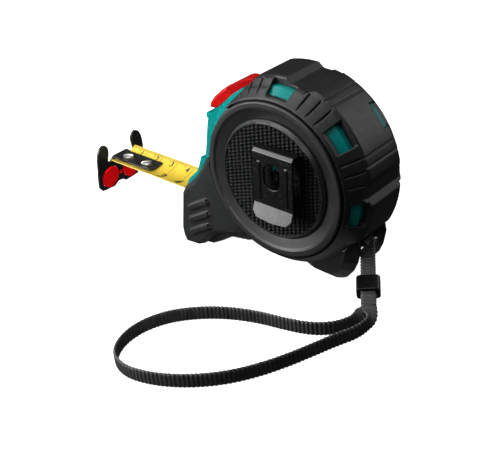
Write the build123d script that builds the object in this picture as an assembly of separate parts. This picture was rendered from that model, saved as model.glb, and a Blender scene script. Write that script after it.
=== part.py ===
from build123d import *
import os
from math import asin, atan2, cos, degrees, radians, sin, tan

# A pocket tape measure with a soft jacket, belt clip, thumb lock, magnetic double hook and wrist strap.
# Modelling frame: X from the mouth to the back, Y across the thickness, Z up, origin on the spool axis.
# The finished pieces are tilted and lifted together, so that toe and rear lobes stand on the plane z = 0.
# Angles on the case are measured about the spool axis, from the back (0) over the top (90) to the front.

# Driving dimensions in millimetres and degrees

# Blade and hook
blade_chord = 18.0         # width across the curved blade
blade_sag = 2.8            # depth of the blade's cross curve
blade_thickness = 0.3
blade_out = 71.4           # from the rim of the round shell to the blade's tip
blade_inside = 4.0         # inner end of the modelled straight run, behind the rim
hook_thickness = 1.2
hook_play = 1.0            # the hook shifts by about its own thickness on the rivets
hook_gap = 0.1             # left between hook and blade when the hook is pushed in
hook_lean = 11.0           # jaws out of square with the blade, degrees
rivet_places = (4.4, 16.8)  # behind the blade's tip
rivet_shank = 1.5
rivet_head = 2.4
rivet_head_height = 0.8
guide_rail = (3.2, 6.5)    # rails under the blade, from the middle
tongue_half = 4.6
tongue_length = 23.0       # behind the blade's tip
tongue_thickness = 0.7
tongue_gap = 0.3           # between tongue and blade
magnet_place = (6.9, -8.4)  # from the middle of the blade's trough (Y, Z)
magnet_half = (5.1, 5.7)
magnet_proud = 0.5
dot_place = -8.6
dot_radius = 0.9
dot_proud = 0.3

# Case
shell_radius = 37.0        # outside of the half shells
shell_wall = 2.0
shoulder = 3.8             # width of the slanted shoulder between rim and side
side_room = 4.7            # from the tape coil to the inside of a shell's flat side
front_inset = 4.2          # front face inside the shell's flat sides
jacket_thickness = 1.4
pad_height = 2.0           # raised pads on the jacket
cover_inset = 4.4          # cover ring inside the rim
cover_rim = 7.4            # width of the cover ring
disc_thickness = 3.3
cover_groove = 0.9         # between the cover ring and the jacket
skin_gap = 0.03            # between the shell and the jacket round it
fit_gap = 0.1              # between fixed pieces
slide_gap = 0.3            # between pieces that move past each other

# Jacket, with case angles in degrees
pads = ((86.0, 131.0), (10.0, 71.0), (-30.0, -1.0))
pad_slope = 2.2            # degrees, half of the slope at a pad's end
rim_grooves = (61.0, 56.0, 24.5, 19.0)
rim_groove_half = 0.5      # degrees
rim_groove_depth = 0.6
window_angles = (87.0, 40.0, -9.0)
window_half = 8.0          # degrees
window_reach = (10.3, 10.3, 10.3)     # from the middle plane to each window of the near half
far_window_reach = (10.3, 6.6, 10.3)  # and of the far half
shoulder_triples = (110.0, 62.5, 17.5, -85.0)
triple_step = 7.5          # degrees
slit_half = 0.5            # degrees
slit_depth = 0.6
jacket_end = 131.0         # front end of the jacket beside the lock
lock_gap_end = 120.5       # front end of the jacket behind the lock
lock_trim = (140.0, 33.6)  # flat that trims the jacket beside the lock: its angle and distance from the axis
band_shoulder = ((1.8, 1.3), (0.4, 3.6), (0.0, 5.6))  # inside the rim's radius, and inside the shell's side
pad_shoulder = ((3.4, 2.0), (1.0, 4.8), (0.0, 6.8))
lobe_bevels = (4.0, 2.1)   # outer and inner face of the rear lobes
toe_bevel = 1.8
rib_pitch = -6.1
rib_count = 3
rib_length = 12.5
rib_width = 2.4
rib_height = 1.2
rib_angle = 31.0

# Spool
axle_radius = 3.0
axle_fit = 0.05            # running clearance of the drum on the axle
hub_radius = 14.0
hub_wall = 1.4
flange_thickness = 1.4
flange_rim = 1.3           # flange beyond the coil
spring_pitch = 1.1
spring_strip = 0.4
spring_room = 0.7          # spring to the drum's web
spring_turns = 6

# Thumb lock
lock_half = 8.0
lock_slope = 40.3          # fall of the lock's face towards the front
lock_start = -8.2          # start of the seat, along the slope from the spot nearest the spool axis
lock_length = 27.9
lock_height = 5.2          # face to seat
lock_travel = 2.0
lock_stem = (9.0, 13.0)    # along the slope from the start of the seat
lock_stem_half = 3.0
lock_nose = (3.6, 2.6)     # upper end: along from the start of the seat, and half the width there
lock_taper = 14.0          # the lock has its full width from here down
lock_stop = (2.5, -0.1)    # bead under the lock's lower end: along from that end, and out from the seat
lock_stop_radius = 1.9
lock_edge = 0.7            # bevel along the lock's sides
thumb_grooves = 4
thumb_groove_pitch = 2.6
thumb_groove = (1.1, 0.8)  # width and depth
thumb_groove_inset = 2.6   # from the lock's sides
lever_depth = 3.6          # stem length under the seat
lever_thickness = 3.4
lever_half = 3.0
lever_foot_gap = 4.0       # foot of the lever above the blade's trough
lever_foot_place = 61.8    # foot of the lever behind the drawn-out tongue, clear of it when the blade is in

# Belt clip
clip_sheet = 1.0
clip_gap = 5.1             # disc to the inside of the clip's plate
clip_left = -3.7
clip_right = 15.3
clip_top = 16.4
clip_fold = 1.2            # bevel of the fold at the top
clip_leg_end = -4.5
clip_plate_end = -6.5
clip_lip_end = -12.8
clip_flare = 2.4           # how far the lip stands out at its end
clip_corner = (2.2, 2.8)   # cut off the lip's corners, width and height
clip_window = (7.8, 10.8)  # oblong screwdriver hole, width and height
clip_window_place = (5.3, 6.1)
clip_window_round = 3.6
clip_rib_inset = 3.0
clip_rib = (1.2, 0.4)      # width and height of the pressed ribs
clip_screw_place = (3.6, 4.6)
clip_screw_head = (2.0, 1.4)
clip_slot = (2.6, 2.8)     # slot above the screw, through leg and disc, width and height
clip_slot_rise = 3.5       # slot above the screw
clip_tab = 0.5             # tab of the shell in that slot, out from the leg

# Case screws
screw_angles = (55.0, 125.0, -35.0, -150.0)
screw_radius = 1.3
screw_head = (2.4, 1.5)    # radius and height
screw_inset = 3.2          # screw circle inside the cover ring
boss_wall = 1.3
pilot_depth = 9.0

# Wrist strap
strap_width = 6.0
strap_thickness = 1.2
strap_gap = 0.2            # between the two layers of the doubled neck
pin_radius = 1.2
pin_hold = 3.0             # length of the pin in each lobe
slider_wall = 1.3
slider_length = 7.4
slider_middle = 23.6       # along the neck from its upper end
slider_corner = 1.6
neck_shift = 1.2           # eye of the strap from the middle of the pin

# Derived values

edge = -shell_radius       # front and bottom of the round shell
back = shell_radius
coil_half = blade_chord / 2 + 0.5
cavity_radius = shell_radius - shell_wall
cavity_side = coil_half + side_room
shell_side = cavity_side + shell_wall
half_width = shell_side + disc_thickness
cover_face = half_width - 0.2
cover_radius = shell_radius - cover_inset
disc_radius = cover_radius - cover_rim
well_radius = cover_radius + cover_groove
jacket_radius = shell_radius + jacket_thickness
pad_radius = jacket_radius + pad_height
jacket_side = shell_side + 2.4
boss_radius = screw_radius + fit_gap + boss_wall
screw_circle = cover_radius - screw_inset
screw_spots = [(screw_circle * cos(radians(a)), screw_circle * sin(radians(a))) for a in screw_angles]
head_seat = half_width - screw_head[1] - 0.7
flange_radius = screw_circle - boss_radius - 0.8
coil_radius = flange_radius - flange_rim
axle_half = shell_side - 0.6
blade_trough = -coil_radius - 3.7
blade_tip = edge - blade_out
channel_half = blade_chord / 2 + 1.3
channel_floor = blade_trough - 2.4
channel_top = blade_trough + 4.9
shell_floor = channel_floor - 2.3
cheek_half = channel_half + 2.7
front_half = shell_side - front_inset
toe_half = cheek_half + 3.8
lobe_inner = strap_width / 2 + 3.3
lobe_outer = lobe_inner + 7.2
pin_place = (back - 5.7, edge + 9.8)
pin_half = lobe_inner + pin_hold
toe_heel = (edge - 6.0, edge - 8.8)    # where the toe stands (X, Z)
lobe_foot = (back - 12.0, edge - 2.7)  # where the rear lobes stand (X, Z)
tilt = degrees(atan2(lobe_foot[1] - toe_heel[1], lobe_foot[0] - toe_heel[0]))
lift = toe_heel[0] * sin(radians(tilt)) - toe_heel[1] * cos(radians(tilt))
stand = Pos(0, 0, lift) * Rot(0, tilt, 0)


def turned(points, first=None, last=None):
    """Revolve (radius, y) corner points about the spool axis, whole or from one case angle to another."""
    face = make_face(Polyline(*[(r, y, 0) for r, y in points], close=True))
    if first is None:
        return revolve(face, Axis.Y, 360)
    return Rot(0, -last, 0) * revolve(face, Axis.Y, last - first)


def slab(points, y0, y1):
    """Extrude a closed (x, z) outline from y0 to y1."""
    wire = Polyline(*[(x, y0, z) for x, z in points], close=True)
    return extrude(make_face(wire), amount=y1 - y0, dir=(0, 1, 0))


def rod(x, z, radius, y0, y1):
    """Cylinder along Y."""
    return Pos(x, (y0 + y1) / 2, z) * Rot(90, 0, 0) * Cylinder(radius, abs(y1 - y0))


def far_side(solid):
    """Twin of a near-side piece."""
    return mirror(solid, about=Plane.XZ)


def on_slope(along, out):
    """Point (x, z) along the lock's slope from the start of the lock's seat, and out from the seat."""
    fall = radians(lock_slope)
    run = lock_start + along
    reach = lock_seat + out
    return -run * cos(fall) - reach * sin(fall), -run * sin(fall) + reach * cos(fall)


def on_slope_plane(along, y):
    """Point of the lock's seat, along the slope from its start and across the case."""
    x, z = on_slope(along, 0)
    return x, y, z


slope_out = (-sin(radians(lock_slope)), 0, cos(radians(lock_slope)))

def clip_slot_body(inset, y0, y1):
    """Body in the clip's slot, inset from its sides."""
    x, z = clip_screw_place
    across = clip_slot[0] / 2 - inset
    up = clip_slot[1] / 2 - inset
    middle = z + clip_slot_rise
    corners = [(x - across, middle - up), (x + across, middle - up), (x + across, middle + up),
               (x - across, middle + up)]
    return slab(corners, y0, y1)


# Half shells

lock_seat = shell_radius - 0.3  # flat seat of the lock, from the spool axis
front_line = [on_slope(lock_length + 1.2, 0), (edge - 3.4, 12.0), (edge - 4.9, 2.0), (edge - 6.0, -4.0),
              (edge - 8.4, channel_top + 12.4)]
mouth_lip = [(edge - 14.2, channel_top + 6.4), (edge - 15.8, channel_top + 2.8), (edge - 15.8, shell_floor)]
nose_back = [(edge + 19.0, shell_floor), (edge + 19.0, -4.0)]


def shell_drum():
    """Round part of the near half as a full body."""
    return turned([(0, -shell_side), (shell_radius - shoulder, -shell_side),
                   (shell_radius, -shell_side + shoulder), (shell_radius, 0), (0, 0)])


def shell_nose():
    """Front face, mouth block and mouth cheek of the near half as a full body."""
    front = slab([on_slope(2.0, 0)] + front_line[:4] + [(edge + 7.0, -4.0)], -front_half, 0)
    front = fillet(front.faces().sort_by(Axis.Y)[0].edges().sort_by(Axis.X)[:3], 3.0)
    block = slab(front_line[3:] + [(edge - 8.4, shell_floor)] + nose_back, -channel_half, 0)
    cheek = slab(front_line[3:] + mouth_lip + nose_back, -cheek_half, -channel_half)
    return front + block + cheek


def lock_room():
    """Space over the lock's seat, out to any height, with the slot for the stem and the lever's chamber."""
    half = lock_half + slide_gap
    over = lock_length + 14.0
    room = slab([on_slope(-8.0, 0), on_slope(over, 0), on_slope(over, 14.0), on_slope(-8.0, 14.0)],
                -half, half)
    first = lock_stem[0] - slide_gap
    last = lock_stem[1] + lock_travel + slide_gap
    depth = -lever_depth - 1.0
    slot_half = lock_stem_half + slide_gap
    room += slab([on_slope(first, 1.0), on_slope(last, 1.0), on_slope(last, depth), on_slope(first, depth)],
                 -slot_half, slot_half)
    chamber_half = lever_half + slide_gap
    room += slab([on_slope(first, -lever_depth + slide_gap), on_slope(last, -lever_depth + slide_gap),
                  (edge - 2.0, 2.0), (edge - 3.6, channel_top + 9.4), (edge - 3.6, channel_floor + 0.1),
                  (edge + 17.0, channel_floor + 0.1), (edge + 7.0, 2.0)], -chamber_half, chamber_half)
    return room


def half_shell():
    """Near half shell, hollow, without its screw bores."""
    shell = shell_drum() + shell_nose()
    shell -= turned([(0, -cavity_side), (cavity_radius - shoulder, -cavity_side),
                     (cavity_radius, -cavity_side + shoulder), (cavity_radius, 1), (0, 1)])
    shell -= slab([(edge - 30.0, channel_floor), (edge + 22.0, channel_floor), (edge + 22.0, channel_top),
                   (edge - 30.0, channel_top)], -channel_half, 1)
    shell -= lock_room()
    stop = on_slope(lock_length + lock_stop[0], lock_stop[1])
    shell += rod(*stop, lock_stop_radius, -lock_half - slide_gap, 0)
    for x, z in screw_spots:
        shell += rod(x, z, boss_radius, -cavity_side, 0)
    socket_end = -cavity_side + 2.0
    shell += rod(0, 0, axle_radius + shell_wall, -cavity_side, socket_end)
    shell -= rod(0, 0, axle_radius + axle_fit, -axle_half, socket_end + 1)
    return shell


shell_near = half_shell()
shell_far = far_side(shell_near)
for x, z in screw_spots:
    shell_near -= rod(x, z, screw_radius + fit_gap, -pilot_depth, 0)
    shell_far -= rod(x, z, screw_radius + fit_gap, 0, shell_side + 1)
shell_near -= rod(*clip_screw_place, screw_radius + fit_gap, -shell_side - 1, -cavity_side + 1)
shell_near += clip_slot_body(fit_gap, -half_width - clip_sheet - clip_tab, -shell_side + 1)

# Jacket halves

toe_front_line = [(edge - 18.8, edge - 4.0), (edge - 18.0, edge - 8.0), (edge - 15.8, edge - 12.0)]
cheek_line = [(edge + 7.0, 1.0), (edge + 1.5, 0.0), (edge - 1.0, -2.6), (edge - 4.2, -8.0),
              (edge - 7.8, channel_top + 10.0), (edge - 14.4, channel_top + 3.8),
              (edge - 16.6, channel_top + 0.2), *toe_front_line,
              (toe_heel[0], edge - 12.0), toe_heel, (edge - 4.4, edge - 7.2), (edge - 1.2, edge - 3.4),
              (edge + 3.0, edge - 0.4), (edge + 16.0, edge + 3.6), (edge + 22.0, edge + 13.0)]
block_line = [(edge - 16.6, shell_floor), *toe_front_line, (edge - 3.0, edge - 8.8), (edge + 3.8, edge - 4.7),
              (edge + 8.6, edge - 1.3), (edge + 18.0, edge + 0.4), (edge + 27.0, shell_floor)]
rib_start = (edge - 11.4, edge + 8.6)
lobe_line = [(back - 31.0, edge), (back - 24.0, edge - 3.3), (back - 12.0, edge - 3.8),
             (back - 8.1, edge - 1.4), (back - 5.2, edge + 2.4), (back - 3.4, edge + 6.7),
             (back - 2.2, edge + 13.0), (back - 3.4, edge + 19.0), (back - 13.0, edge + 15.0)]


def polar(radius, angle):
    """Point (x, z) at a case angle."""
    return radius * cos(radians(angle)), radius * sin(radians(angle))


def jacket_ring(radius, shoulder_line, first, last):
    """Stretch of the near jacket between two case angles, out to a radius on the rim."""
    inner = shell_radius - 9.0
    outline = [(inner, -jacket_side), (well_radius, -jacket_side)]
    outline += [(radius - inset, drop - shell_side) for inset, drop in shoulder_line]
    return turned(outline + [(radius, 0), (inner, 0)], first, last)


def jacket_pad(first, last):
    """Raised pad with sloping ends."""
    pad = jacket_ring(pad_radius, pad_shoulder, first - pad_slope, last + pad_slope)
    over = pad_radius + 4.0
    for end, out in ((first, -1), (last, 1)):
        low = end + out * pad_slope
        clear = end + out * 3 * pad_slope
        wedge = [polar(jacket_radius, low), polar(pad_radius, end - out * pad_slope),
                 polar(over, end - out * 2 * pad_slope), polar(over, clear), polar(jacket_radius, clear)]
        pad -= slab(wedge, -half_width - 1, 1)
    return pad


def jacket_cuts(reach):
    """Windows, rim grooves, shoulder slits, the gap for the lock and the flat beside it."""
    over = pad_radius + 2.0
    side = half_width + 2.0
    cuts = []
    window_floor = well_radius + 1.0
    for middle, near in zip(window_angles, reach):
        cuts.append(turned([(window_floor, -side), (over, -side), (over, -near), (window_floor, -near)],
                           middle - window_half, middle + window_half))
    groove_floor = pad_radius - rim_groove_depth
    for middle in rim_grooves:
        cuts.append(turned([(groove_floor, -side), (over, -side), (over, 1), (groove_floor, 1)],
                           middle - rim_groove_half, middle + rim_groove_half))
    slit_floor = [(pad_radius - inset - slit_depth, drop + slit_depth - shell_side)
                  for inset, drop in pad_shoulder[:2]]
    slit_start = (well_radius + 0.7, -jacket_side + 0.7 + slit_depth)
    slit = [(slit_start[0], -side), slit_start, *slit_floor, (over, slit_floor[-1][1]), (over, -side)]
    for triple in shoulder_triples:
        for step in (-1, 0, 1):
            middle = triple + step * triple_step
            cuts.append(turned(slit, middle - slit_half, middle + slit_half))
    gap_half = lock_half + 1.2
    cuts.append(turned([(shell_radius - 4.0, -gap_half), (pad_radius + 8.0, -gap_half), (pad_radius + 8.0, 1),
                        (shell_radius - 4.0, 1)], lock_gap_end, jacket_end + 30.0))
    angle, distance = lock_trim
    flat = Pos(distance + 10.0, -half_width / 2, 0) * Box(20.0, half_width + 4.0, 60.0)
    cuts.append(Rot(0, -angle, 0) * flat)
    return cuts


def toe_body():
    """Toe cheek and the block under the mouth."""
    toe = slab(cheek_line, -toe_half, -cheek_half)
    toe = chamfer(toe.faces().sort_by(Axis.Y)[0].edges(), toe_bevel)
    return toe + slab(block_line, -cheek_half, 0)


def toe_rib(k):
    """One of the slanting ribs on the toe's cheek."""
    bar = Pos(rib_length / 2, 0, 0) * Box(rib_length, 2 * rib_height, rib_width)
    return Pos(rib_start[0], -toe_half, rib_start[1] + k * rib_pitch) * Rot(0, -rib_angle, 0) * bar


def strap_lobe():
    """Near one of the two lobes that hold the strap pin."""
    lobe = slab(lobe_line, -lobe_outer, -lobe_inner)
    lobe = chamfer(lobe.faces().sort_by(Axis.Y)[0].edges(), lobe_bevels[0])
    return chamfer(lobe.faces().sort_by(Axis.Y)[-1].edges(), lobe_bevels[1])


def jacket_core():
    """Room for the round shell and the face cover, with its seam at the jacket's open front."""
    well_y = -shell_side + well_radius - shell_radius + shoulder
    core = turned([(0, -half_width - 5), (well_radius, -half_width - 5), (well_radius, well_y - skin_gap),
                   (shell_radius + skin_gap, -shell_side + shoulder), (shell_radius + skin_gap, 1), (0, 1)])
    return Rot(0, -(jacket_end + 180.0) / 2, 0) * core


def half_jacket(reach):
    jacket = jacket_ring(jacket_radius, band_shoulder, -180.0, jacket_end)
    for first, last in pads:
        jacket += jacket_pad(first, last)
    for cut in jacket_cuts(reach):
        jacket -= cut
    jacket += toe_body()
    jacket += strap_lobe()
    jacket -= jacket_core()
    jacket -= shell_nose()
    for k in range(rib_count):
        jacket += toe_rib(k)
    jacket -= rod(*pin_place, pin_radius + axle_fit, -pin_half, 0)
    floor = stand.inverse() * Pos(0, 0, -50) * Box(400, 400, 100)
    return jacket - floor


jacket_near = half_jacket(window_reach)
jacket_far = far_side(half_jacket(far_window_reach))

# Face covers and discs


def face_cover():
    """Near cover ring: a raised rim, a dished inner slope round the disc and a flange in the jacket's well."""
    inner = disc_radius + fit_gap
    flange = well_radius - fit_gap
    return turned([(inner, -shell_side), (inner, -cover_face + 1.9), (cover_radius - 3.2, -cover_face + 0.7),
                   (cover_radius - 2.6, -cover_face), (cover_radius - 0.4, -cover_face),
                   (cover_radius, -cover_face + 0.5), (cover_radius, -shell_side - 0.9),
                   (flange, -shell_side - 0.9), (flange, -shell_side)])


def face_disc():
    """Near disc with a broad edge bevel."""
    bevel = 1.1
    return turned([(0, -shell_side), (disc_radius, -shell_side), (disc_radius, -half_width + bevel + 0.2),
                   (disc_radius - bevel, -half_width), (0, -half_width)])


def pan_screw(x, z, seat, tip, head):
    """Screw along Y with a cross slot: the head stands on its seat, away from the tip."""
    radius, height = head
    side = 1 if seat > tip else -1
    head_end = seat + side * height
    screw = rod(x, z, screw_radius, tip, seat) + rod(x, z, radius, seat, head_end)
    for turn in (0, 90):
        screw -= Pos(x, head_end, z) * Rot(0, turn, 0) * Box(radius * 1.3, height, 0.6)
    return screw


def clip_slot_cut():
    """Slot through the clip's leg and the disc."""
    return clip_slot_body(0, -half_width - clip_sheet - 1, -shell_side)


cover_near = face_cover()
cover_far = far_side(face_cover())
for x, z in screw_spots:
    cover_far -= rod(x, z, screw_radius + fit_gap, 0, half_width + 1)
    cover_far -= rod(x, z, screw_head[0] + fit_gap, head_seat, half_width + 1)
disc_near = face_disc() - rod(*clip_screw_place, screw_radius + fit_gap, -half_width - 1, 0) - clip_slot_cut()
disc_far = far_side(face_disc())
case_screws = Compound([pan_screw(x, z, head_seat, -pilot_depth + 0.5, screw_head) for x, z in screw_spots])

# Belt clip

clip_inside = half_width + clip_gap
clip_outside = clip_inside + clip_sheet
clip_width = clip_right - clip_left
clip_middle = (clip_left + clip_right) / 2


def belt_clip():
    """Folded sheet: a leg on the disc, a square fold at the top, a plate and a flared lip."""
    bend_z = clip_top - 3.0

    def sheet(y, z0, z1):
        return Pos(clip_middle, y, (z0 + z1) / 2) * Box(clip_width, clip_sheet, z1 - z0)

    clip = sheet(-half_width - clip_sheet / 2, clip_leg_end, bend_z)
    clip += sheet(-clip_inside - clip_sheet / 2, clip_plate_end, bend_z)
    mitre = clip_sheet * tan(radians(22.5))
    leg_inside = -half_width - clip_sheet
    fold_z = clip_top - clip_fold
    fold = [(-clip_outside, bend_z), (-clip_outside, fold_z), (-clip_outside + clip_fold, clip_top),
            (-half_width - clip_fold, clip_top), (-half_width, fold_z), (-half_width, bend_z),
            (leg_inside, bend_z), (leg_inside, fold_z - mitre),
            (-half_width - clip_fold - mitre, clip_top - clip_sheet),
            (-clip_outside + clip_fold + mitre, clip_top - clip_sheet), (-clip_inside, fold_z - mitre),
            (-clip_inside, bend_z)]
    fold_face = make_face(Polyline(*[(clip_left, y, z) for y, z in fold], close=True))
    clip += extrude(fold_face, amount=clip_width, dir=(1, 0, 0))
    lip_side = [(-clip_outside, clip_plate_end), (-clip_inside, clip_plate_end),
                (-clip_inside - clip_flare, clip_lip_end), (-clip_outside - clip_flare, clip_lip_end)]
    lip_face = make_face(Polyline(*[(clip_left, y, z) for y, z in lip_side], close=True))
    lip = extrude(lip_face, amount=clip_width, dir=(1, 0, 0))
    corner, corner_height = clip_corner
    bow = 0.6
    lip_shape = slab([(clip_left, clip_plate_end + 1), (clip_right, clip_plate_end + 1),
                      (clip_right, clip_lip_end + corner_height), (clip_right - corner, clip_lip_end + bow),
                      (clip_middle, clip_lip_end), (clip_left + corner, clip_lip_end + bow),
                      (clip_left, clip_lip_end + corner_height)], -clip_outside - clip_flare - 5, 0)
    clip += lip & lip_shape
    rib_width, rib_height = clip_rib
    for x in (clip_left + clip_rib_inset, clip_right - clip_rib_inset):
        rib = Box(rib_width, 2 * rib_height, bend_z - clip_plate_end - 4)
        clip += Pos(x, -clip_outside, (bend_z + clip_plate_end) / 2) * rib
    window = Plane.XZ.offset(clip_inside - 1) * Pos(*clip_window_place) * RectangleRounded(
        *clip_window, clip_window_round)
    clip -= extrude(window, amount=clip_sheet + 3)
    clip -= clip_slot_cut()
    return clip - rod(*clip_screw_place, screw_radius + fit_gap, -half_width - clip_sheet - 1, -half_width + 1)


clip = belt_clip()
clip_screw = pan_screw(*clip_screw_place, -half_width - clip_sheet, -cavity_side - 0.4, clip_screw_head)

# Spool

axle = rod(0, 0, axle_radius, -axle_half, axle_half)
flange_inner = coil_half + slide_gap
flange_outer = flange_inner + flange_thickness
bore = axle_radius + axle_fit
hub_bore = hub_radius - hub_wall
web = flange_inner - 1.6
spring_half = web - spring_room
drum = turned([(hub_bore, -flange_inner), (hub_radius, -flange_inner), (hub_radius, flange_inner),
               (flange_radius, flange_inner), (flange_radius, flange_outer), (bore, flange_outer), (bore, web),
               (hub_bore, web)])
flange = turned([(bore, -flange_inner), (flange_radius, -flange_inner), (flange_radius, -flange_outer),
                 (bore, -flange_outer)])
coil = turned([(hub_radius + fit_gap, -coil_half), (coil_radius, -coil_half), (coil_radius, coil_half),
               (hub_radius + fit_gap, coil_half)])


def return_spring():
    """Flat spiral of half turns about two centres."""
    start = axle_radius + 1.0
    turns = []
    for k in range(2 * spring_turns):
        radius = start + k * spring_pitch / 2
        first = 180.0 * (k % 2)
        centre = spring_pitch / 2 * (k % 2)
        strip = [(radius, -spring_half), (radius + spring_strip, -spring_half),
                 (radius + spring_strip, spring_half), (radius, spring_half)]
        turns.append(Pos(centre, 0, 0) * turned(strip, first, first + 180.0))
    return turns[0].fuse(*turns[1:])


spring = return_spring()
print("return spring, gap between turns", round(spring_pitch - spring_strip, 2))

# Blade, rivets and hook

blade_curve = (blade_chord ** 2 / 4 + blade_sag ** 2) / (2 * blade_sag)
blade_centre = blade_trough + blade_curve
blade_angle = degrees(asin(blade_chord / 2 / blade_curve))
blade_top_radius = blade_curve - blade_thickness / 2
blade_low_radius = blade_curve + blade_thickness / 2
tongue_low_radius = blade_top_radius - tongue_gap
tongue_top_radius = tongue_low_radius - tongue_thickness
tongue_angle = degrees(asin(tongue_half / tongue_low_radius))
head_bottom = blade_centre - tongue_top_radius + 0.5
tail_top = blade_centre - blade_low_radius - 0.02
hook_inner = blade_tip - hook_play / 2 - hook_gap
hook_outer = hook_inner - hook_thickness
rivet_spots = [blade_tip + place for place in rivet_places]


def curved_strip(inner, outer, angle, x0, x1):
    """Strip along X between two radii about the blade's centre of curvature."""
    def at(radius, side):
        return (x0, radius * sin(radians(side)), blade_centre - radius * cos(radians(side)))
    edges = [ThreePointArc(at(inner, -angle), at(inner, 0), at(inner, angle)),
             Line(at(inner, angle), at(outer, angle)),
             ThreePointArc(at(outer, angle), at(outer, 0), at(outer, -angle)),
             Line(at(outer, -angle), at(inner, -angle))]
    return extrude(make_face(edges), amount=x1 - x0, dir=(1, 0, 0))


def post(x, radius, z0, z1):
    """Upright cylinder on the blade's middle line."""
    return Pos(x, 0, (z0 + z1) / 2) * Cylinder(radius, z1 - z0)


def oval(y, z, half_y, half_z, x0, x1):
    """Upright oval plug along X."""
    face = Plane.YZ * Pos(y, z) * Ellipse(half_y, half_z)
    return Pos(x0, 0, 0) * extrude(face, amount=x1 - x0, dir=(1, 0, 0))


def tape_blade():
    blade = curved_strip(blade_top_radius, blade_low_radius, blade_angle, blade_tip, edge + blade_inside)
    for x in rivet_spots:
        blade -= post(x, rivet_shank + axle_fit, tail_top - 1, tail_top + 2)
    return blade


def hook_rivet(x):
    tail = post(x, rivet_shank + 0.5, tail_top - 0.5, tail_top)
    return tail + post(x, rivet_shank, tail_top, head_bottom) + post(
        x, rivet_head, head_bottom, head_bottom + rivet_head_height)


def leaned(solid):
    """Turn a piece of the hook's jaws about the hook's inner face at the blade's trough."""
    pivot = Pos(hook_inner, 0, blade_trough)
    return pivot * Rot(0, hook_lean, 0) * pivot.inverse() * solid


def hook_plate(half_line):
    """Plate of the hook from one half of its outline (Y, and Z from the blade's trough)."""
    line = half_line + [(-y, z) for y, z in reversed(half_line) if y > 0]
    outline = Polyline(*[(hook_outer, y, blade_trough + z) for y, z in line], close=True)
    return extrude(make_face(outline), amount=hook_thickness, dir=(1, 0, 0))


def magnet_plugs(grow, x0, x1, dot_x0, dot_x1):
    """Two oval plugs and the dot between them, before they are leaned."""
    half = (magnet_half[0] + grow, magnet_half[1] + grow)
    plugs = [oval(side * magnet_place[0], blade_trough + magnet_place[1], *half, x0, x1) for side in (-1, 1)]
    return plugs + [oval(0, blade_trough + dot_place, dot_radius + grow, dot_radius + grow, dot_x0, dot_x1)]


def end_hook():
    """Double hook: a plate with horns above and leaning jaws below, and a curved tongue on the blade."""
    hook = hook_plate([(14.7, 0.0), (14.6, 3.6), (13.9, 6.7), (12.6, 8.9), (10.6, 9.9), (8.9, 9.4), (7.6, 7.8),
                       (7.3, 5.7), (7.7, 3.6), (8.4, 0.9), (7.0, 0.1), (tongue_half, 2.3)])
    jaws = hook_plate([(0.0, -13.7), (1.2, -13.7), (2.2, -14.4), (3.4, -15.5), (8.5, -15.4), (11.7, -15.0),
                       (13.6, -12.6), (14.5, -5.4), (14.7, 0.0)])
    for plug in magnet_plugs(fit_gap, hook_outer - 1, hook_inner + 1, hook_outer - 1, hook_inner + 1):
        jaws -= plug
    hook += leaned(jaws)
    tongue_end = blade_tip + tongue_length
    hook += curved_strip(tongue_top_radius, tongue_low_radius, tongue_angle, hook_outer, tongue_end)
    slot_radius = rivet_shank + slide_gap
    slot_z = (blade_trough - 4, blade_trough + 6)
    for x in rivet_spots:
        for end in (-hook_play, hook_play):
            hook -= post(x + end, slot_radius, *slot_z)
        hook -= Pos(x, 0, sum(slot_z) / 2) * Box(2 * hook_play, 2 * slot_radius, slot_z[1] - slot_z[0])
    return hook


def hook_magnets():
    plugs = magnet_plugs(0, hook_outer - magnet_proud, hook_inner + magnet_proud, hook_outer - dot_proud,
                         hook_inner + dot_proud)
    return [leaned(plug) for plug in plugs]


# Blade guide in the mouth


def blade_guide():
    """Plate on the channel's floor with two rails that carry the blade beside its rivets."""
    front, rear = edge - 15.0, edge + 13.0
    plate_top = channel_floor + 1.2
    half = channel_half - fit_gap
    guide = slab([(front, channel_floor), (rear, channel_floor), (rear, plate_top), (front + 1.0, plate_top)],
                 -half, half)
    rail_top = blade_trough - blade_thickness / 2
    rail = [(front + 1.0, channel_floor), (rear, channel_floor), (rear, rail_top), (front + 2.0, rail_top)]
    for side in (-1, 1):
        ends = sorted((side * guide_rail[0], side * guide_rail[1]))
        guide += slab(rail, *ends)
    return guide


# Thumb lock and brake lever


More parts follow.
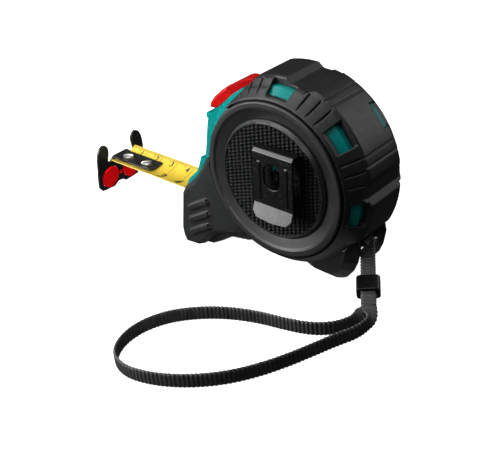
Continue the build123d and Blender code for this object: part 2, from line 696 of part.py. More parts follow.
def lock_button():
    """Slide that narrows to its upper end, with thumb grooves and a stem through the shell."""
    end = lock_length
    top = lock_height
    nose, nose_half = lock_nose
    line = [(nose, slide_gap), (nose, top - 3.7), (nose + 2.0, top - 2.3), (8.8, top - 1.1), (12.5, top - 0.3),
            (17.0, top), (23.0, top - 0.2), (end - 0.8, top - 1.2), (end + 0.3, top - 2.6),
            (end - 2.8, slide_gap)]
    lock = slab([on_slope(*point) for point in line], -lock_half, lock_half)
    for side in (-1, 1):
        beyond = lock_half + 2.0
        corner = [(nose - 1.0, nose_half), (nose, nose_half), (lock_taper, lock_half), (lock_taper, beyond),
                  (nose - 1.0, beyond)]
        outline = Polyline(*[on_slope_plane(along, side * y) for along, y in corner], close=True)
        lock -= extrude(make_face(outline), amount=20.0, dir=slope_out, both=True)
    sides = lock.faces().sort_by(Axis.Y)
    lock = chamfer(sides[0].edges() + sides[-1].edges(), lock_edge)
    groove_half = lock_half - thumb_groove_inset
    width, depth = thumb_groove
    for k in range(thumb_grooves):
        low = end - 8.5 - k * thumb_groove_pitch
        groove = [(low, top - depth), (low + width, top - depth), (low + width, top + 2.0), (low, top + 2.0)]
        lock -= slab([on_slope(*point) for point in groove], -groove_half, groove_half)
    first, last = lock_stem
    stem = [(first, slide_gap), (last, slide_gap), (last, -lever_depth), (first, -lever_depth)]
    return lock + slab([on_slope(*point) for point in stem], -lock_stem_half, lock_stem_half)


def brake_lever():
    """Lever that hangs from the stem, past the spool, to a foot above the blade."""
    foot = blade_trough + lever_foot_gap
    foot_front = blade_tip + tongue_length + lever_foot_place
    head = [on_slope(lock_stem[0], -lever_depth - lever_thickness), on_slope(lock_stem[0], -lever_depth),
            on_slope(lock_stem[1], -lever_depth)]
    front_side = [(edge + 2.2, 2.0), (edge + 1.0, channel_top + 11.4), (edge + 4.0, channel_top + 3.4),
                  (foot_front, foot)]
    back_side = [(foot_front + lever_thickness, foot), (foot_front + lever_thickness, foot + 3.0),
                 (edge + 6.5, channel_top + 5.2), (edge + 4.6, channel_top + 12.4), (edge + 5.6, 2.0)]
    return slab(head + front_side + back_side, -lever_half, lever_half)


# Wrist strap, in the standing frame, with the spool axis at X = 0 and the middle of the case at Y = 0

strap_pin = rod(*pin_place, pin_radius, -pin_half, pin_half)
pin_spot = (stand * Pos(pin_place[0], 0, pin_place[1])).position
neck_start = Vector(pin_spot.X, neck_shift, pin_spot.Z)
neck_end = Vector(46.85, -26.1, 3.2)
neck_along = (neck_end - neck_start).normalized()
neck_across = Vector(-neck_along.Y, neck_along.X, 0).normalized()
neck_plane = Plane(origin=neck_start, x_dir=neck_across, z_dir=neck_along)
neck_length = (neck_end - neck_start).length
neck_thickness = 2 * strap_thickness + strap_gap
eye_radius = pin_radius + fit_gap + strap_thickness
slider_slot = (strap_width + 2 * slide_gap, neck_thickness + 2 * slide_gap)
slider_outer = (slider_slot[0] + 2 * slider_wall, slider_slot[1] + 2 * slider_wall)


def strap_neck():
    """Doubled stretch from the eye round the pin to the loop."""
    neck = extrude(neck_plane * Rectangle(strap_width, neck_thickness), amount=neck_length)
    at_pin = Pos(pin_spot.X, neck_start.Y, pin_spot.Z) * Rot(90, 0, 0)
    return neck + at_pin * Cylinder(eye_radius, strap_width) - at_pin * Cylinder(pin_radius + fit_gap, 40)


def strap_slider():
    plane = neck_plane.offset(slider_middle - slider_length / 2)
    body = extrude(plane * RectangleRounded(*slider_outer, slider_corner), amount=slider_length)
    return body - extrude(plane * Rectangle(*slider_slot), amount=slider_length)


# Loop on the floor, standing on its edge: route points (X, Y) from the neck out and back again
loop_route = [(47.9, -27.1), (52.6, -33.0), (52.6, -41.0), (48.4, -49.6), (44.9, -58.6), (40.8, -68.6),
              (35.4, -78.6), (28.0, -88.0), (18.0, -95.8), (6.6, -101.0), (-5.2, -102.8), (-14.6, -99.0),
              (-19.8, -90.2), (-20.4, -79.8), (-16.2, -69.6), (-8.0, -61.6), (2.6, -55.6), (14.4, -52.0),
              (26.4, -50.6), (36.6, -48.4), (43.8, -43.8), (47.4, -36.6), (45.9, -28.1)]
loop_height = strap_width / 2 + 0.05


def route_radii(points):
    """Largest tangent arc at each inner corner of a route."""
    radii = []
    for a, b, c in zip(points, points[1:], points[2:]):
        into = Vector(b) - Vector(a)
        out = Vector(c) - Vector(b)
        turn = radians(into.get_angle(out))
        radii.append(0.45 * min(into.length, out.length) / tan(turn / 2))
    return radii


def strap_loop():
    points = [(x, y, loop_height) for x, y in loop_route]
    radii = route_radii(points)
    print("strap loop radii", [round(radius, 1) for radius in radii])
    path = FilletPolyline(*points, radius=radii)
    start = Plane(origin=points[0], x_dir=(0, 0, 1), z_dir=path % 0)
    loop = sweep(start * Rectangle(strap_width, strap_thickness), path=path)
    section = strap_width * strap_thickness
    print("strap loop length", round(path.length, 1), "volume over section and length",
          round(loop.volume / section / path.length, 4))
    print("strap length in all", round(path.length + 2 * neck_length, 1))
    return loop


# Export, with the origin on the ground under the middle of the case and blade

tilted = {
    "case_shell_near": shell_near,
    "case_shell_far": shell_far,
    "grip_jacket_near": jacket_near,
    "grip_jacket_far": jacket_far,
    "face_cover_near": cover_near,
    "face_cover_far": cover_far,
    "face_disc_near": disc_near,
    "face_disc_far": disc_far,
    "belt_clip": clip,
    "clip_screw": clip_screw,
    "case_screws": case_screws,
    "axle_post": axle,
    "spool_drum": drum,
    "spool_flange": flange,
    "tape_coil": coil,
    "return_spring": spring,
    "tape_blade": tape_blade(),
    "hook_rivets": Compound([hook_rivet(x) for x in rivet_spots]),
    "end_hook": end_hook(),
    "hook_magnets": Compound(hook_magnets()),
    "blade_guide": blade_guide(),
    "lock_button": lock_button(),
    "brake_lever": brake_lever(),
    "strap_pin": strap_pin,
}
standing = {"strap_neck": strap_neck(), "strap_loop": strap_loop(), "strap_slider": strap_slider()}
placed = {name: stand * solid for name, solid in tilted.items()}
middle = Compound(list(placed.values())).bounding_box().center()
to_origin = Pos(-middle.X, -middle.Y, 0)
print("spool axis from the origin", [round(value, 3) for value in (-middle.X, -middle.Y, lift)])
print("tilt", round(tilt, 4))
os.makedirs("parts", exist_ok=True)
for name, solid in (placed | standing).items():
    export_step(to_origin * solid, f"parts/{name}.step")
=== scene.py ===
import math

import bmesh
import bpy
from mathutils import Matrix, Vector


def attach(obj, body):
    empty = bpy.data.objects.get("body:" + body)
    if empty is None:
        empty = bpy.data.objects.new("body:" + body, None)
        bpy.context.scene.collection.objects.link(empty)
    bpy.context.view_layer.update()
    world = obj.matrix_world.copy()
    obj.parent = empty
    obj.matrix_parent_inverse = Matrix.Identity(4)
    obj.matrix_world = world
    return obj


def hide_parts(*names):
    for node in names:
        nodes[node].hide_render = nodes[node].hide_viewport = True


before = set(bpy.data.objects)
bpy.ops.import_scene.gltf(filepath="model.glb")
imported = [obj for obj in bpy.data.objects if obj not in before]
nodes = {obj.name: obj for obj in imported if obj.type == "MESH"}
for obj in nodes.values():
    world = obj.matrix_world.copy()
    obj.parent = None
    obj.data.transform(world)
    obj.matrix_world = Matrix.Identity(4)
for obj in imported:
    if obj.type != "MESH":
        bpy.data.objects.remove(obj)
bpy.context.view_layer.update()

MM = 0.001
scene = bpy.context.scene

# The case stands tilted on its toe and rear lobes. Lengths in the case's own frame are millimetres from the
# spool axis, X to the back, Y across to the far side and Z up. put() places them in the row frame.
SPOOL_AXIS = Vector((38.275, 4.25, 41.775))
TILT = math.atan2(6.1, 68.0)


def put(x, y, z):
    c, s = math.cos(TILT), math.sin(TILT)
    return (Vector((x * c + z * s, y, z * c - x * s)) + SPOOL_AXIS) * MM


def standing(x, y, z):
    """A point of the strap, in millimetres from the spot on the floor under the spool axis."""
    return Vector((x + SPOOL_AXIS.x, y + SPOOL_AXIS.y, z)) * MM


# Camera. Focal length and width are in pixels of the photo.

PHOTO_FOCAL = 949.5
PHOTO_WIDTH = 500
SENSOR_WIDTH = 36.0
camera_data = bpy.data.cameras.new("camera")
camera_data.sensor_width = SENSOR_WIDTH
camera_data.lens = PHOTO_FOCAL / PHOTO_WIDTH * SENSOR_WIDTH
camera_data.clip_start = 0.01
camera_data.clip_end = 20.0
camera = bpy.data.objects.new("camera", camera_data)
scene.collection.objects.link(camera)
camera.matrix_world = Matrix((
    (0.760318, -0.218493, 0.611701, 0.260402),
    (0.638973, 0.420851, -0.643893, -0.263925),
    (-0.116749, 0.880423, 0.459592, 0.196889),
    (0.0, 0.0, 0.0, 1.0)))
scene.camera = camera

# Materials

COLOUR_DRIFT = 90.0
COLOUR_SPAN = (0.3, 0.7)
GLOSS_DRIFT = 420.0
GLOSS_SPAN = (0.25, 0.75)
WEAR_AND_SHEEN_EDGE = (0.53, 0.62)
BRUSHING_DEPTH = 0.00001
BRUSHING_SHADE = 0.8


def new_material(name, colour, rough, metal=0.0, **sockets):
    """Principled material. Further sockets are given with _ for a space."""
    made = bpy.data.materials.new(name)
    made.use_nodes = True
    shader = made.node_tree.nodes["Principled BSDF"]
    shader.inputs["Base Color"].default_value = (*colour, 1.0)
    shader.inputs["Roughness"].default_value = rough
    shader.inputs["Metallic"].default_value = metal
    for key, value in sockets.items():
        shader.inputs[key.replace("_", " ")].default_value = value
    return made, made.node_tree, shader


def coordinates(tree):
    found = tree.nodes.get("Texture Coordinate")
    return (found or tree.nodes.new("ShaderNodeTexCoord")).outputs["Object"]


def noise_of(tree, scale, detail=3.0, roughness=0.55):
    texture = tree.nodes.new("ShaderNodeTexNoise")
    texture.inputs["Scale"].default_value = scale
    texture.inputs["Detail"].default_value = detail
    texture.inputs["Roughness"].default_value = roughness
    tree.links.new(coordinates(tree), texture.inputs["Vector"])
    return texture.outputs["Fac"]


def ramp(tree, source, low, high, start, end):
    """Map a value from start..end to a colour between two colours."""
    made = tree.nodes.new("ShaderNodeValToRGB")
    made.color_ramp.elements[0].position = start
    made.color_ramp.elements[1].position = end
    made.color_ramp.elements[0].color = (*low, 1.0)
    made.color_ramp.elements[1].color = (*high, 1.0)
    tree.links.new(source, made.inputs["Fac"])
    return made.outputs["Color"]


def span(tree, source, low, high, start=0.0, end=1.0):
    """Map a value from start..end to low..high."""
    made = tree.nodes.new("ShaderNodeMapRange")
    made.inputs["From Min"].default_value = start
    made.inputs["From Max"].default_value = end
    made.inputs["To Min"].default_value = low
    made.inputs["To Max"].default_value = high
    tree.links.new(source, made.inputs["Value"])
    return made.outputs["Result"]


def bump(tree, shader, height, distance):
    made = tree.nodes.new("ShaderNodeBump")
    made.inputs["Distance"].default_value = distance
    tree.links.new(height, made.inputs["Height"])
    tree.links.new(made.outputs["Normal"], shader.inputs["Normal"])


def blended(tree, factor, low, high):
    """Mix a colour output with a fixed colour by a factor."""
    made = tree.nodes.new("ShaderNodeMix")
    made.data_type = "RGBA"
    tree.links.new(factor, made.inputs["Factor"])
    tree.links.new(low, made.inputs["A"])
    made.inputs["B"].default_value = (*high, 1.0)
    return made.outputs["Result"]


def moulded(name, dark, light, rough, grain, depth, spread=0.06, wear_and_sheen=None, **sockets):
    """Moulded or painted surface with drifting colour, uneven gloss and a fine grain.

    grain is the scale of the grain's noise, depth its height in metres and spread the change in roughness. Edges
    are lightened to the given edge colour: rubbed wear, and on the strap's rib crests partly a painted highlight.
    """
    made, tree, shader = new_material(name, light, rough, **sockets)
    colour = ramp(tree, noise_of(tree, COLOUR_DRIFT), dark, light, *COLOUR_SPAN)
    if wear_and_sheen is not None:
        # Convex edges are lightened: rubbed wear, and on the strap's rib crests partly a painted highlight.
        edges = tree.nodes.new("ShaderNodeNewGeometry").outputs["Pointiness"]
        colour = blended(tree, span(tree, edges, 0.0, 1.0, *WEAR_AND_SHEEN_EDGE), colour, wear_and_sheen)
    tree.links.new(colour, shader.inputs["Base Color"])
    gloss = noise_of(tree, GLOSS_DRIFT, 4.0)
    uneven = span(tree, gloss, rough - spread, rough + spread, *GLOSS_SPAN)
    tree.links.new(uneven, shader.inputs["Roughness"])
    bump(tree, shader, noise_of(tree, grain, 2.0, 0.6), depth)
    return made


rubber = moulded(
    "jacket_rubber", (0.006, 0.0065, 0.007), (0.010, 0.0105, 0.011), 0.40, 2600.0, 0.00006,
    wear_and_sheen=(0.020, 0.021, 0.022))
ring_plastic = moulded(
    "cover_plastic", (0.007, 0.0075, 0.008), (0.012, 0.0125, 0.013), 0.44, 3000.0, 0.00005,
    wear_and_sheen=(0.022, 0.023, 0.024))
disc_plastic = moulded(
    "disc_plastic", (0.0025, 0.003, 0.003), (0.005, 0.0055, 0.0055), 0.46, 3400.0, 0.00003,
    wear_and_sheen=(0.010, 0.0105, 0.011), Specular_IOR_Level=0.12)
rim_plastic = moulded(
    "disc_rim", (0.010, 0.0105, 0.011), (0.016, 0.0165, 0.017), 0.30, 3400.0, 0.00001,
    Specular_IOR_Level=1.0)
teal_plastic = moulded(
    "teal_plastic", (0.0005, 0.165, 0.154), (0.0008, 0.19, 0.178), 0.26, 2400.0, 0.00001,
    Specular_IOR_Level=0.2)
red_plastic = moulded(
    "red_plastic", (0.36, 0.0012, 0.0016), (0.44, 0.0016, 0.002), 0.24, 2200.0, 0.00001, 0.04,
    wear_and_sheen=(0.64, 0.006, 0.006), Specular_IOR_Level=0.3)
clip_paint = moulded(
    "clip_paint", (0.003, 0.0033, 0.0036), (0.005, 0.0053, 0.0056), 0.26, 4200.0, 0.00001, 0.04,
    wear_and_sheen=(0.016, 0.016, 0.017))
hook_paint = moulded(
    "hook_paint", (0.004, 0.0045, 0.0045), (0.008, 0.0085, 0.0085), 0.34, 4200.0, 0.00003,
    wear_and_sheen=(0.05, 0.05, 0.05))
magnet_paint = moulded(
    "magnet_paint", (0.80, 0.0012, 0.003), (0.92, 0.0016, 0.005), 0.38, 2600.0, 0.00002,
    wear_and_sheen=(0.76, 0.01, 0.01), Specular_IOR_Level=0.2)
slider_plastic = moulded(
    "slider_plastic", (0.0015, 0.0015, 0.0017), (0.003, 0.003, 0.0034), 0.24, 1600.0, 0.000004, 0.03,
    Specular_IOR_Level=0.4)
inner_plastic = moulded(
    "inner_plastic", (0.03, 0.03, 0.032), (0.05, 0.05, 0.052), 0.45, 2600.0, 0.00003)
guide_plastic = moulded(
    "guide_plastic", (0.008, 0.008, 0.009), (0.014, 0.014, 0.015), 0.42, 2600.0, 0.00003)
yellow_lacquer = moulded(
    "blade_lacquer", (0.54, 0.38, 0.030), (0.62, 0.445, 0.045), 0.36, 1800.0, 0.00001,
    Specular_IOR_Level=0.4)
print_ink = moulded(
    "blade_ink", (0.012, 0.011, 0.008), (0.022, 0.02, 0.015), 0.45, 2600.0, 0.00001)
# Strap yarn: its lighter rib crests are partly rubbed yarn and partly a painted highlight.
weave_yarn = moulded(
    "strap_yarn", (0.018, 0.0185, 0.019), (0.036, 0.037, 0.038), 0.50, 5200.0, 0.00012, 0.1,
    wear_and_sheen=(0.10, 0.102, 0.105))
black_steel = moulded(
    "black_steel", (0.004, 0.004, 0.0045), (0.008, 0.008, 0.009), 0.30, 3600.0, 0.00002)


def metal_of(name, colour, rough, scale):
    """Bare or plated steel with fine unevenness."""
    made, tree, shader = new_material(name, colour, rough, 1.0)
    gloss = noise_of(tree, scale, 5.0, 0.6)
    tree.links.new(span(tree, gloss, rough - 0.1, rough + 0.12), shader.inputs["Roughness"])
    low = tuple(BRUSHING_SHADE * c for c in colour)
    drift = ramp(tree, noise_of(tree, scale / 4), low, colour, *COLOUR_SPAN)
    tree.links.new(drift, shader.inputs["Base Color"])
    bump(tree, shader, gloss, BRUSHING_DEPTH)
    return made


plated_steel = metal_of("plated_steel", (0.72, 0.72, 0.70), 0.30, 1800.0)
spring_steel = metal_of("spring_steel", (0.30, 0.31, 0.33), 0.38, 1400.0)

for names, made in (
        (("case_shell_near", "case_shell_far"), teal_plastic),
        (("grip_jacket_near", "grip_jacket_far"), rubber),
        (("face_cover_near", "face_cover_far"), ring_plastic),
        (("face_disc_near", "face_disc_far"), disc_plastic),
        (("belt_clip",), clip_paint),
        (("clip_screw", "case_screws"), black_steel),
        (("axle_post", "hook_rivets", "strap_pin"), plated_steel),
        (("spool_drum", "spool_flange", "brake_lever"), inner_plastic),
        (("tape_coil", "tape_blade"), yellow_lacquer),
        (("return_spring",), spring_steel),
        (("end_hook",), hook_paint),
        (("hook_magnets",), magnet_paint),
        (("blade_guide",), guide_plastic),
        (("lock_button",), red_plastic),
        (("strap_neck", "strap_loop"), weave_yarn),
        (("strap_slider",), slider_plastic)):
    for name in names:
        node = nodes[name]
        node.data.materials.clear()
        node.data.materials.append(made)

# Mesh helpers

CAD_WELD = 1e-6
LOFT_WELD = 1e-7
LOFT_SHARP = 50
SMOOTHING = 0.5


def piece_of(name, mesh, material, body, slot, *replaced):
    """Link a finished mesh as a piece that rides on a body and may stand for CAD nodes."""
    mesh.name = name
    made = bpy.data.objects.new(name, mesh)
    scene.collection.objects.link(made)
    mesh.materials.clear()
    mesh.materials.append(material)
    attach(made, body)
    if replaced:
        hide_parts(*replaced)
    return made


def evaluated_mesh(holder):
    graph = bpy.context.evaluated_depsgraph_get()
    return bpy.data.meshes.new_from_object(holder.evaluated_get(graph))


def smooth_shaded(mesh, sharp=None):
    """Shade a mesh smooth, but for edges over an angle in degrees where one is given."""
    mesh.polygons.foreach_set("use_smooth", [True] * len(mesh.polygons))
    if sharp is not None:
        mesh.set_sharp_from_angle(angle=math.radians(sharp))
    return mesh


def rounded(names, voxel, rounds, keep):
    """One mesh of CAD nodes that lie together, with their edges rounded as a moulding's are.

    voxel is the size of the remesh in millimetres, rounds the rounds of smoothing, keep the share of faces kept.
    """
    shape = bmesh.new()
    for name in names:
        shape.from_mesh(nodes[name].data)
    bmesh.ops.remove_doubles(shape, verts=shape.verts, dist=CAD_WELD)
    source = bpy.data.meshes.new("source")
    shape.to_mesh(source)
    shape.free()
    holder = bpy.data.objects.new("holder", source)
    scene.collection.objects.link(holder)
    remesh = holder.modifiers.new("remesh", "REMESH")
    remesh.mode = "VOXEL"
    remesh.voxel_size = voxel * MM * 1.0
    smooth = holder.modifiers.new("smooth", "SMOOTH")
    smooth.factor = SMOOTHING
    smooth.iterations = rounds
    thin = holder.modifiers.new("thin", "DECIMATE")
    thin.ratio = keep
    mesh = evaluated_mesh(holder)
    bpy.data.objects.remove(holder)
    bpy.data.meshes.remove(source)
    return smooth_shaded(mesh)


def lofted(rings, close_first=False, close_last=False, skip=None):
    """Skin over closed rings of points, one after the other.

    skip tells which faces to leave out, by the number of their ring and of their point in it.
    """
    count = len(rings[0])
    points = [p for ring in rings for p in ring]
    faces = []
    for k in range(len(rings) - 1):
        for i in range(count):
            j = (i + 1) % count
            corners = (k * count + i, k * count + j, (k + 1) * count + j, (k + 1) * count + i)
            if skip is None or not skip(k, i):
                faces.append(corners)
    if close_first:
        faces.append(tuple(range(count)))
    if close_last:
        faces.append(tuple(range((len(rings) - 1) * count, len(rings) * count)))
    mesh = bpy.data.meshes.new("lofted")
    mesh.from_pydata(points, [], faces)
    shape = bmesh.new()
    shape.from_mesh(mesh)
    bmesh.ops.remove_doubles(shape, verts=shape.verts, dist=LOFT_WELD)
    bmesh.ops.recalc_face_normals(shape, faces=shape.faces)
    shape.to_mesh(mesh)
    shape.free()
    return smooth_shaded(mesh, LOFT_SHARP)


def joined(*meshes):
    shape = bmesh.new()
    for mesh in meshes:
        shape.from_mesh(mesh)
    whole = bpy.data.meshes.new("joined")
    shape.to_mesh(whole)
    shape.free()
    return smooth_shaded(whole, LOFT_SHARP)


def spokes_of(count):
    """Directions evenly round a circle."""
    return [(math.cos(2 * math.pi * i / count), math.sin(2 * math.pi * i / count)) for i in range(count)]


def eased(value, start, end):
    """Smooth step from 0 at start to 1 at end."""
    t = min(max((value - start) / (end - start), 0.0), 1.0)
    return t * t * (3 - 2 * t)


# Strap: flat ribbed webbing, doubled from the pin through the slider, then a loop that stands on its edge

STRAP_HALF = 2.84
STRAP_THICKNESS = 1.0
STRAP_SIDES = 12
EDGE_POWER = 8
EDGE_THINNING = 0.7
RIB_PITCH = 1.6
RIB_HEIGHT = 0.19
RIB_AT_EDGE = 0.16
YARN_HEIGHT = 0.07
YARN_COUNT = 3
TWIST_START = 34.0
TWIST_END = 46.0
LOOP_HEIGHT = 3.06
LAYER_OUT = [(29.01, 0.79, 13.72), (33.66, -6.21, 10.31), (42.73, -19.89, 5.90), (45.89, -24.65, 4.29),
             (46.95, -26.25, 3.75)]
LOOP_ROUTE = [(47.9, -27.1), (52.6, -33.0), (52.6, -41.0), (48.4, -49.6), (44.9, -58.6), (40.8, -68.6),
              (35.4, -78.6), (28.0, -88.0), (18.0, -95.8), (6.6, -101.0), (-5.2, -102.8), (-14.6, -99.0),
              (-19.8, -90.2), (-20.4, -79.8), (-16.2, -69.6), (-8.0, -61.6), (2.6, -55.6), (14.4, -52.0),
              (26.4, -50.6), (36.6, -48.4), (43.8, -43.8), (47.4, -36.6), (47.2, -28.0)]
LAYER_BACK = [(46.75, -25.95, 2.95), (45.67, -24.32, 3.36), (42.54, -19.59, 4.55), (33.45, -5.89, 8.86),
              (28.48, 1.61, 10.05)]
route = [standing(*p) for p in LAYER_OUT]
route += [standing(x, y, LOOP_HEIGHT) for x, y in LOOP_ROUTE]
route += [standing(*p) for p in LAYER_BACK]


def spline_points(points, resolution):
    """Points read from an unbevelled NURBS curve with these control points."""
    data = bpy.data.curves.new("route", "CURVE")
    data.dimensions = "3D"
    line = data.splines.new("NURBS")
    line.points.add(len(points) - 1)
    for spot, point in zip(line.points, points):
        spot.co = (*point, 1.0)
    line.order_u = 3
    line.use_endpoint_u = True
    line.resolution_u = resolution
    holder = bpy.data.objects.new("route", data)
    scene.collection.objects.link(holder)
    mesh = evaluated_mesh(holder)
    found = [v.co.copy() for v in mesh.vertices]
    bpy.data.objects.remove(holder)
    bpy.data.meshes.remove(mesh)
    return found


strap_path = spline_points(route, 40)
strap_marks = [0.0]
for a, b in zip(strap_path, strap_path[1:]):
    strap_marks.append(strap_marks[-1] + (b - a).length / MM)
strap_length = strap_marks[-1]


def strap_turn(mark):
    """Turn of the webbing about its line: flat in the neck, upright in the loop."""
    quarter = eased(mark, TWIST_START, TWIST_END)
    quarter += eased(mark, strap_length - TWIST_END, strap_length - TWIST_START)
    return -math.radians(90.0 * quarter)


def strap_section(k):
    """Ring of points round the webbing at one point of its path."""
    spot = strap_path[k]
    along = (strap_path[min(k + 1, len(strap_path) - 1)] - strap_path[max(k - 1, 0)]).normalized()
    level = Vector((-along.y, along.x, 0)).normalized()
    upright = along.cross(level)
    mark = strap_marks[k]
    turn = strap_turn(mark)
    wide = level * math.cos(turn) + upright * math.sin(turn)
    thin = along.cross(wide)
    rib = math.cos(2 * math.pi * mark / RIB_PITCH)
    yarn = math.cos(math.pi * mark / RIB_PITCH)
    half = STRAP_HALF + RIB_AT_EDGE * rib
    ring = []
    for face in (1, -1):
        for i in range(STRAP_SIDES + 1):
            v = face * (2 * i / STRAP_SIDES - 1)
            inner = 1 - v ** EDGE_POWER
            height = STRAP_THICKNESS / 2 * (1 - EDGE_THINNING * abs(v) ** EDGE_POWER) + RIB_HEIGHT * rib * inner
            height += YARN_HEIGHT * yarn * math.cos(YARN_COUNT * 2 * math.pi * v) * inner
            ring.append(spot + (wide * v * half + thin * face * height) * MM)
    return ring


strap_mesh = lofted([strap_section(k) for k in range(len(strap_path))], True, True)
strap = piece_of("wrist_strap", strap_mesh, weave_yarn, "case", "strap", "strap_neck", "strap_loop")

# The eye's profile: distance from the pin's axis, place along the pin, and 1 where the ribs raise it
PIN_SPOT = (28.745, 1.2, 11.887)
EYE_PROFILE = [(1.32, -2.8, 0), (2.3, -2.9, 1), (2.42, -2.4, 1), (2.46, 0, 1), (2.42, 2.4, 1), (2.3, 2.9, 1),
               (1.32, 2.8, 0)]
EYE_STEPS = 60
EYE_RIBS = 8
EYE_RIB_HEIGHT = 0.08


def strap_eye():
    """Turn of webbing round the pin."""
    rings = []
    for k in range(EYE_STEPS + 1):
        angle = 2 * math.pi * k / EYE_STEPS
        x, z = math.cos(angle), math.sin(angle)
        rib = EYE_RIB_HEIGHT * math.cos(angle * EYE_RIBS)
        profile = [(r + ribbed * rib, y) for r, y, ribbed in EYE_PROFILE]
        rings.append([standing(PIN_SPOT[0] + r * x, PIN_SPOT[1] + y, PIN_SPOT[2] + r * z)
                      for r, y in profile])
    return lofted(rings)


eye = piece_of("strap_eye", strap_eye(), weave_yarn, "case", "strap")
slider = piece_of("slider", rounded(["strap_slider"], 0.16, 4, 0.5), slider_plastic, "slider", "slider",
                  "strap_slider")

# Jacket, covers, clip, lock and hook

JACKET_SHARP = 60
jacket = rounded(["grip_jacket_near", "grip_jacket_far"], 0.25, 3, 0.20)
piece_of("grip_jacket", smooth_shaded(jacket, JACKET_SHARP), rubber, "case", "jacket",
         "grip_jacket_near", "grip_jacket_far")
for name, replaced, voxel, rounds, keep, material, body, slot in (
        ("cover_near", "face_cover_near", 0.22, 3, 0.35, ring_plastic, "case", "cover"),
        ("cover_far", "face_cover_far", 0.22, 3, 0.35, ring_plastic, "case", "cover"),
        ("clip", "belt_clip", 0.14, 5, 0.5, clip_paint, "case", "clip"),
        ("lock", "lock_button", 0.18, 4, 0.5, red_plastic, "lock", "lock"),
        ("hook", "end_hook", 0.16, 3, 0.5, hook_paint, "hook", "hook"),
        ("magnets", "hook_magnets", 0.12, 5, 0.5, magnet_paint, "hook", "magnet")):
    piece_of(name, rounded([replaced], voxel, rounds, keep), material, body, slot, replaced)

# Face discs with a knitted relief. A stitch's halves are shares of its column and row, the clip's slot is given
# by its limits in X and Z, and the edge by radius and height.

DISC_RADIUS = 25.15
DISC_BACK = 16.25
DISC_GROUND = 18.8
KNIT_COLUMN = 2.1
KNIT_ROW = 1.5
KNIT_HEIGHT = 0.65
KNIT_RADIUS = 23.3
STITCH_HALF_WIDTH = 0.43
STITCH_HALF_LENGTH = 0.47
CLIP_SLOT = (2.3, 4.9, 6.7, 9.5)
DISC_EDGE = [(KNIT_RADIUS + 0.2, 19.15), (KNIT_RADIUS + 0.4, 19.4), (KNIT_RADIUS + 0.7, 19.4),
             (DISC_RADIUS - 0.15, 18.2), (DISC_RADIUS, 17.95), (DISC_RADIUS, DISC_BACK)]
RIM_START = KNIT_RADIUS + 0.3


def knit(x, z):
    """Height of the relief: rounded stitches in columns, every other column half a stitch on."""
    column = x / KNIT_COLUMN
    k = round(column)
    across = column - k
    row = z / KNIT_ROW + 0.5 * (k % 2)
    along = row - math.floor(row) - 0.5
    height = 1.0 - (across / STITCH_HALF_WIDTH) ** 2 - (along / STITCH_HALF_LENGTH) ** 2
    return math.sqrt(height) if height > 0.0 else 0.0


def knit_disc(side, slot):
    """Disc of the near (-1) or far (1) side, with or without the slot behind the clip."""
    count = 480
    step = 0.3
    spokes = spokes_of(count)
    radii = [step * (k + 1) for k in range(int(KNIT_RADIUS / step))]
    rings = [[put(r * x, side * (DISC_GROUND + KNIT_HEIGHT * knit(r * x, r * z)), r * z) for x, z in spokes]
             for r in radii]
    rings += [[put(r * x, side * y, r * z) for x, z in spokes] for r, y in DISC_EDGE]

    def in_slot(k, i):
        if k >= len(radii):
            return False
        x, z = radii[k] * spokes[i][0], radii[k] * spokes[i][1]
        return CLIP_SLOT[0] < x < CLIP_SLOT[1] and CLIP_SLOT[2] < z < CLIP_SLOT[3]

    return lofted(rings, True, False, in_slot if slot else None)


disc_near = piece_of("disc_near", knit_disc(-1, True), disc_plastic, "case", "disc", "face_disc_near")
disc_far = piece_of("disc_far", knit_disc(1, False), disc_plastic, "case", "disc", "face_disc_far")
axis_spot = put(0, 0, 0)
for disc in (disc_near, disc_far):
    disc.data.materials.append(rim_plastic)
    for face in disc.data.polygons:
        reach = math.hypot(face.center.x - axis_spot.x, face.center.z - axis_spot.z) / MM
        face.material_index = 1 if reach > RIM_START else 0

# Blade print. The blade is an arc across its width, with the radius BLADE_TOP on its hollow top and its centre at
# the height BLADE_CENTRE. A mark has a half width, a start and an end across the blade. A figure has a place along
# the blade from its mark, a place across, a size and a weight.

BLADE_TIP = -108.4
BLADE_INNER = -34.0
BLADE_TOP = 15.714
BLADE_CENTRE = -12.436
PRINT_LIFT = 0.02
PRINT_STEP = 0.8
LONG_MARK = (0.14, 0.6, 9.2)
MIDDLE_MARK = (0.18, 6.9, 9.3)
SHORT_MARK = (0.18, 7.9, 9.3)
SMALL_FIGURE = (-2.6, 6.1, 4.2, 0.12)
LARGE_FIGURE = (0.6, -4.0, 7.0, 0.24)
LAST_FIGURE = 7
FIRST_LARGE_FIGURE = 3


def on_blade(x, across):
    """A spot just over the blade's hollow top, at a length across the blade from its middle line."""
    radius = BLADE_TOP - PRINT_LIFT
    angle = across / BLADE_TOP
    return put(x, radius * math.sin(angle), BLADE_CENTRE - radius * math.cos(angle))


def mark_on(shape, x, half, first, last):
    """A line across the blade."""
    steps = max(2, round((last - first) / PRINT_STEP))
    spots = [first + (last - first) * k / steps for k in range(steps + 1)]
    left = [shape.verts.new(on_blade(x - half, spot)) for spot in spots]
    right = [shape.verts.new(on_blade(x + half, spot)) for spot in spots]
    for k in range(steps):
        shape.faces.new((left[k], right[k], right[k + 1], left[k + 1]))


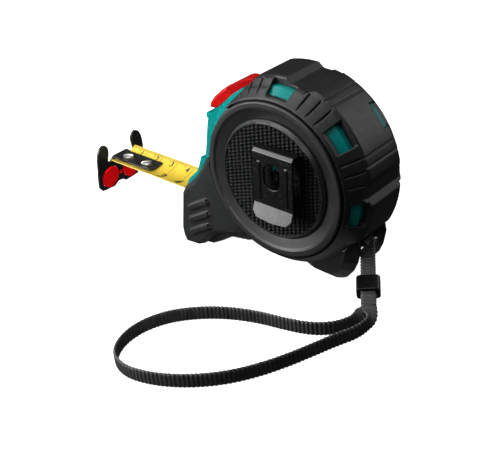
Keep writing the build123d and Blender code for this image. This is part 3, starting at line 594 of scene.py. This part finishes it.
def figure_on(shape, text, mark, along, across, size, weight):
    """A number on the blade beside its mark, with its top towards the far edge."""
    data = bpy.data.curves.new("figure", "FONT")
    data.body = text
    data.size = size
    data.offset = weight
    data.align_x = "CENTER"
    data.align_y = "CENTER"
    holder = bpy.data.objects.new("figure", data)
    scene.collection.objects.link(holder)
    flat = bmesh.new()
    mesh = evaluated_mesh(holder)
    flat.from_mesh(mesh)
    bmesh.ops.triangulate(flat, faces=flat.faces)
    long_edges = [e for e in flat.edges if e.calc_length() > PRINT_STEP]
    bmesh.ops.subdivide_edges(flat, edges=long_edges, cuts=2)
    x = mark + along
    made = {v: shape.verts.new(on_blade(x + v.co.x, across + v.co.y)) for v in flat.verts}
    for face in flat.faces:
        shape.faces.new([made[v] for v in face.verts])
    flat.free()
    bpy.data.objects.remove(holder)
    bpy.data.meshes.remove(mesh)


def blade_print():
    """Marks at every millimetre and figures at every centimetre."""
    shape = bmesh.new()
    for k in range(1, int(BLADE_INNER - BLADE_TIP) + 1):
        if k % 10 == 0:
            mark = LONG_MARK
        elif k % 5 == 0:
            mark = MIDDLE_MARK
        else:
            mark = SHORT_MARK
        mark_on(shape, BLADE_TIP + k, *mark)
    for k in range(1, LAST_FIGURE + 1):
        x = BLADE_TIP + 10 * k
        figure_on(shape, str(k), x, *SMALL_FIGURE)
        if k >= FIRST_LARGE_FIGURE:
            figure_on(shape, str(k), x, *LARGE_FIGURE)
    mesh = bpy.data.meshes.new("print")
    shape.to_mesh(mesh)
    shape.free()
    return smooth_shaded(mesh)


piece_of("blade_print", blade_print(), print_ink, "blade", "blade")

# Rivets, each with its place along the blade and the turn of its slot. The shank and tail are given by radius
# and height.

RIVETS = ((-104.0, 0.5), (-91.6, 0.9))
RIVET_SEAT = -26.65
RIVET_RADIUS = 2.4
RIVET_POINTS = 96
HEAD_RINGS = 23
HEAD_STEP = 0.1
HEAD_HEIGHT = 0.8
HEAD_FALL = 0.42
SLOT_DEPTH = 0.42
SLOT_EDGE = (0.26, 0.40)
RIVET_SHANK = ((RIVET_RADIUS, RIVET_SEAT), (1.5, RIVET_SEAT), (1.5, -28.47), (2.0, -28.47), (2.0, -28.8),
               (1.7, -28.97))


def rivet(x, turn):
    """Rivet with a domed, slotted head over the tongue and a flat tail under the blade."""
    spokes = spokes_of(RIVET_POINTS)

    def head_height(u, v):
        r = math.hypot(u, v)
        across = abs(v * math.cos(turn) - u * math.sin(turn))
        dome = HEAD_HEIGHT - HEAD_FALL * (r / RIVET_RADIUS) ** 3
        return dome - SLOT_DEPTH * (1.0 - eased(across, *SLOT_EDGE))

    radii = [HEAD_STEP * (k + 1) for k in range(HEAD_RINGS)] + [RIVET_RADIUS]
    rings = [[put(x + r * u, r * v, RIVET_SEAT + head_height(r * u, r * v)) for u, v in spokes]
             for r in radii]
    for r, z in RIVET_SHANK:
        rings.append([put(x + r * u, r * v, z) for u, v in spokes])
    return lofted(rings, True, True)


rivets = joined(*[rivet(x, turn) for x, turn in RIVETS])
piece_of("rivets", rivets, plated_steel, "blade", "rivet", "hook_rivets")

# Floor and light

FLOOR_HALF = 6.0
FLOOR_GREY = (0.5, 0.5, 0.5)
FLOOR_GLOW = 1.05
WORLD_GLOW = 0.03
WHITE = (1.0, 1.0, 1.0, 1.0)
floor_mesh = bpy.data.meshes.new("floor")
floor_corners = [(x * FLOOR_HALF, y * FLOOR_HALF, 0) for x, y in ((-1, -1), (1, -1), (1, 1), (-1, 1))]
floor_mesh.from_pydata(floor_corners, [], [(0, 1, 2, 3)])
floor = bpy.data.objects.new("floor", floor_mesh)
scene.collection.objects.link(floor)
floor_paint, _, _ = new_material("floor_paint", FLOOR_GREY, 0.9, Emission_Color=WHITE,
                                 Emission_Strength=FLOOR_GLOW)
floor_mesh.materials.append(floor_paint)
floor.visible_glossy = False
floor.visible_diffuse = False
floor.visible_shadow = False

world = bpy.data.worlds.new("studio")
scene.world = world
world.use_nodes = True
background = world.node_tree.nodes["Background"]
background.inputs["Color"].default_value = WHITE
background.inputs["Strength"].default_value = WORLD_GLOW


def softbox(name, spot, aim, size, radiance, spread=180.0):
    """Rectangular lamp at a spot, of a size in metres, a brightness and a spread in degrees."""
    data = bpy.data.lights.new(name, "AREA")
    data.shape = "RECTANGLE"
    data.size, data.size_y = size
    data.energy = radiance * math.pi * size[0] * size[1]
    data.spread = math.radians(spread)
    lamp = bpy.data.objects.new(name, data)
    scene.collection.objects.link(lamp)
    lamp.location = spot
    lamp.rotation_euler = (Vector(aim) - Vector(spot)).to_track_quat("-Z", "Y").to_euler()


softbox("key", (-0.42, -0.42, 0.30), (-0.03, -0.01, 0.05), (0.46, 0.66), 5.0, 130.0)
softbox("front", (0.03, -0.50, 0.56), (0.03, 0.0, 0.05), (0.34, 0.26), 3.4)
softbox("top", (-0.05, 0.0, 0.80), (0.02, 0.0, 0.05), (0.60, 0.60), 2.8)
softbox("fill", (0.52, -0.42, 0.62), (0.03, 0.0, 0.05), (0.30, 0.30), 1.0)
softbox("back", (0.45, 0.50, 0.38), (0.03, 0.0, 0.05), (0.60, 0.60), 1.4)
softbox("hook", (0.12, -0.32, 0.16), (-0.075, 0.0, 0.025), (0.10, 0.10), 1.3, 22.0)
softbox("under", (0.04, -0.03, -0.16), (0.045, -0.01, 0.05), (0.16, 0.16), 0.3)

scene.view_settings.view_transform = "Standard"
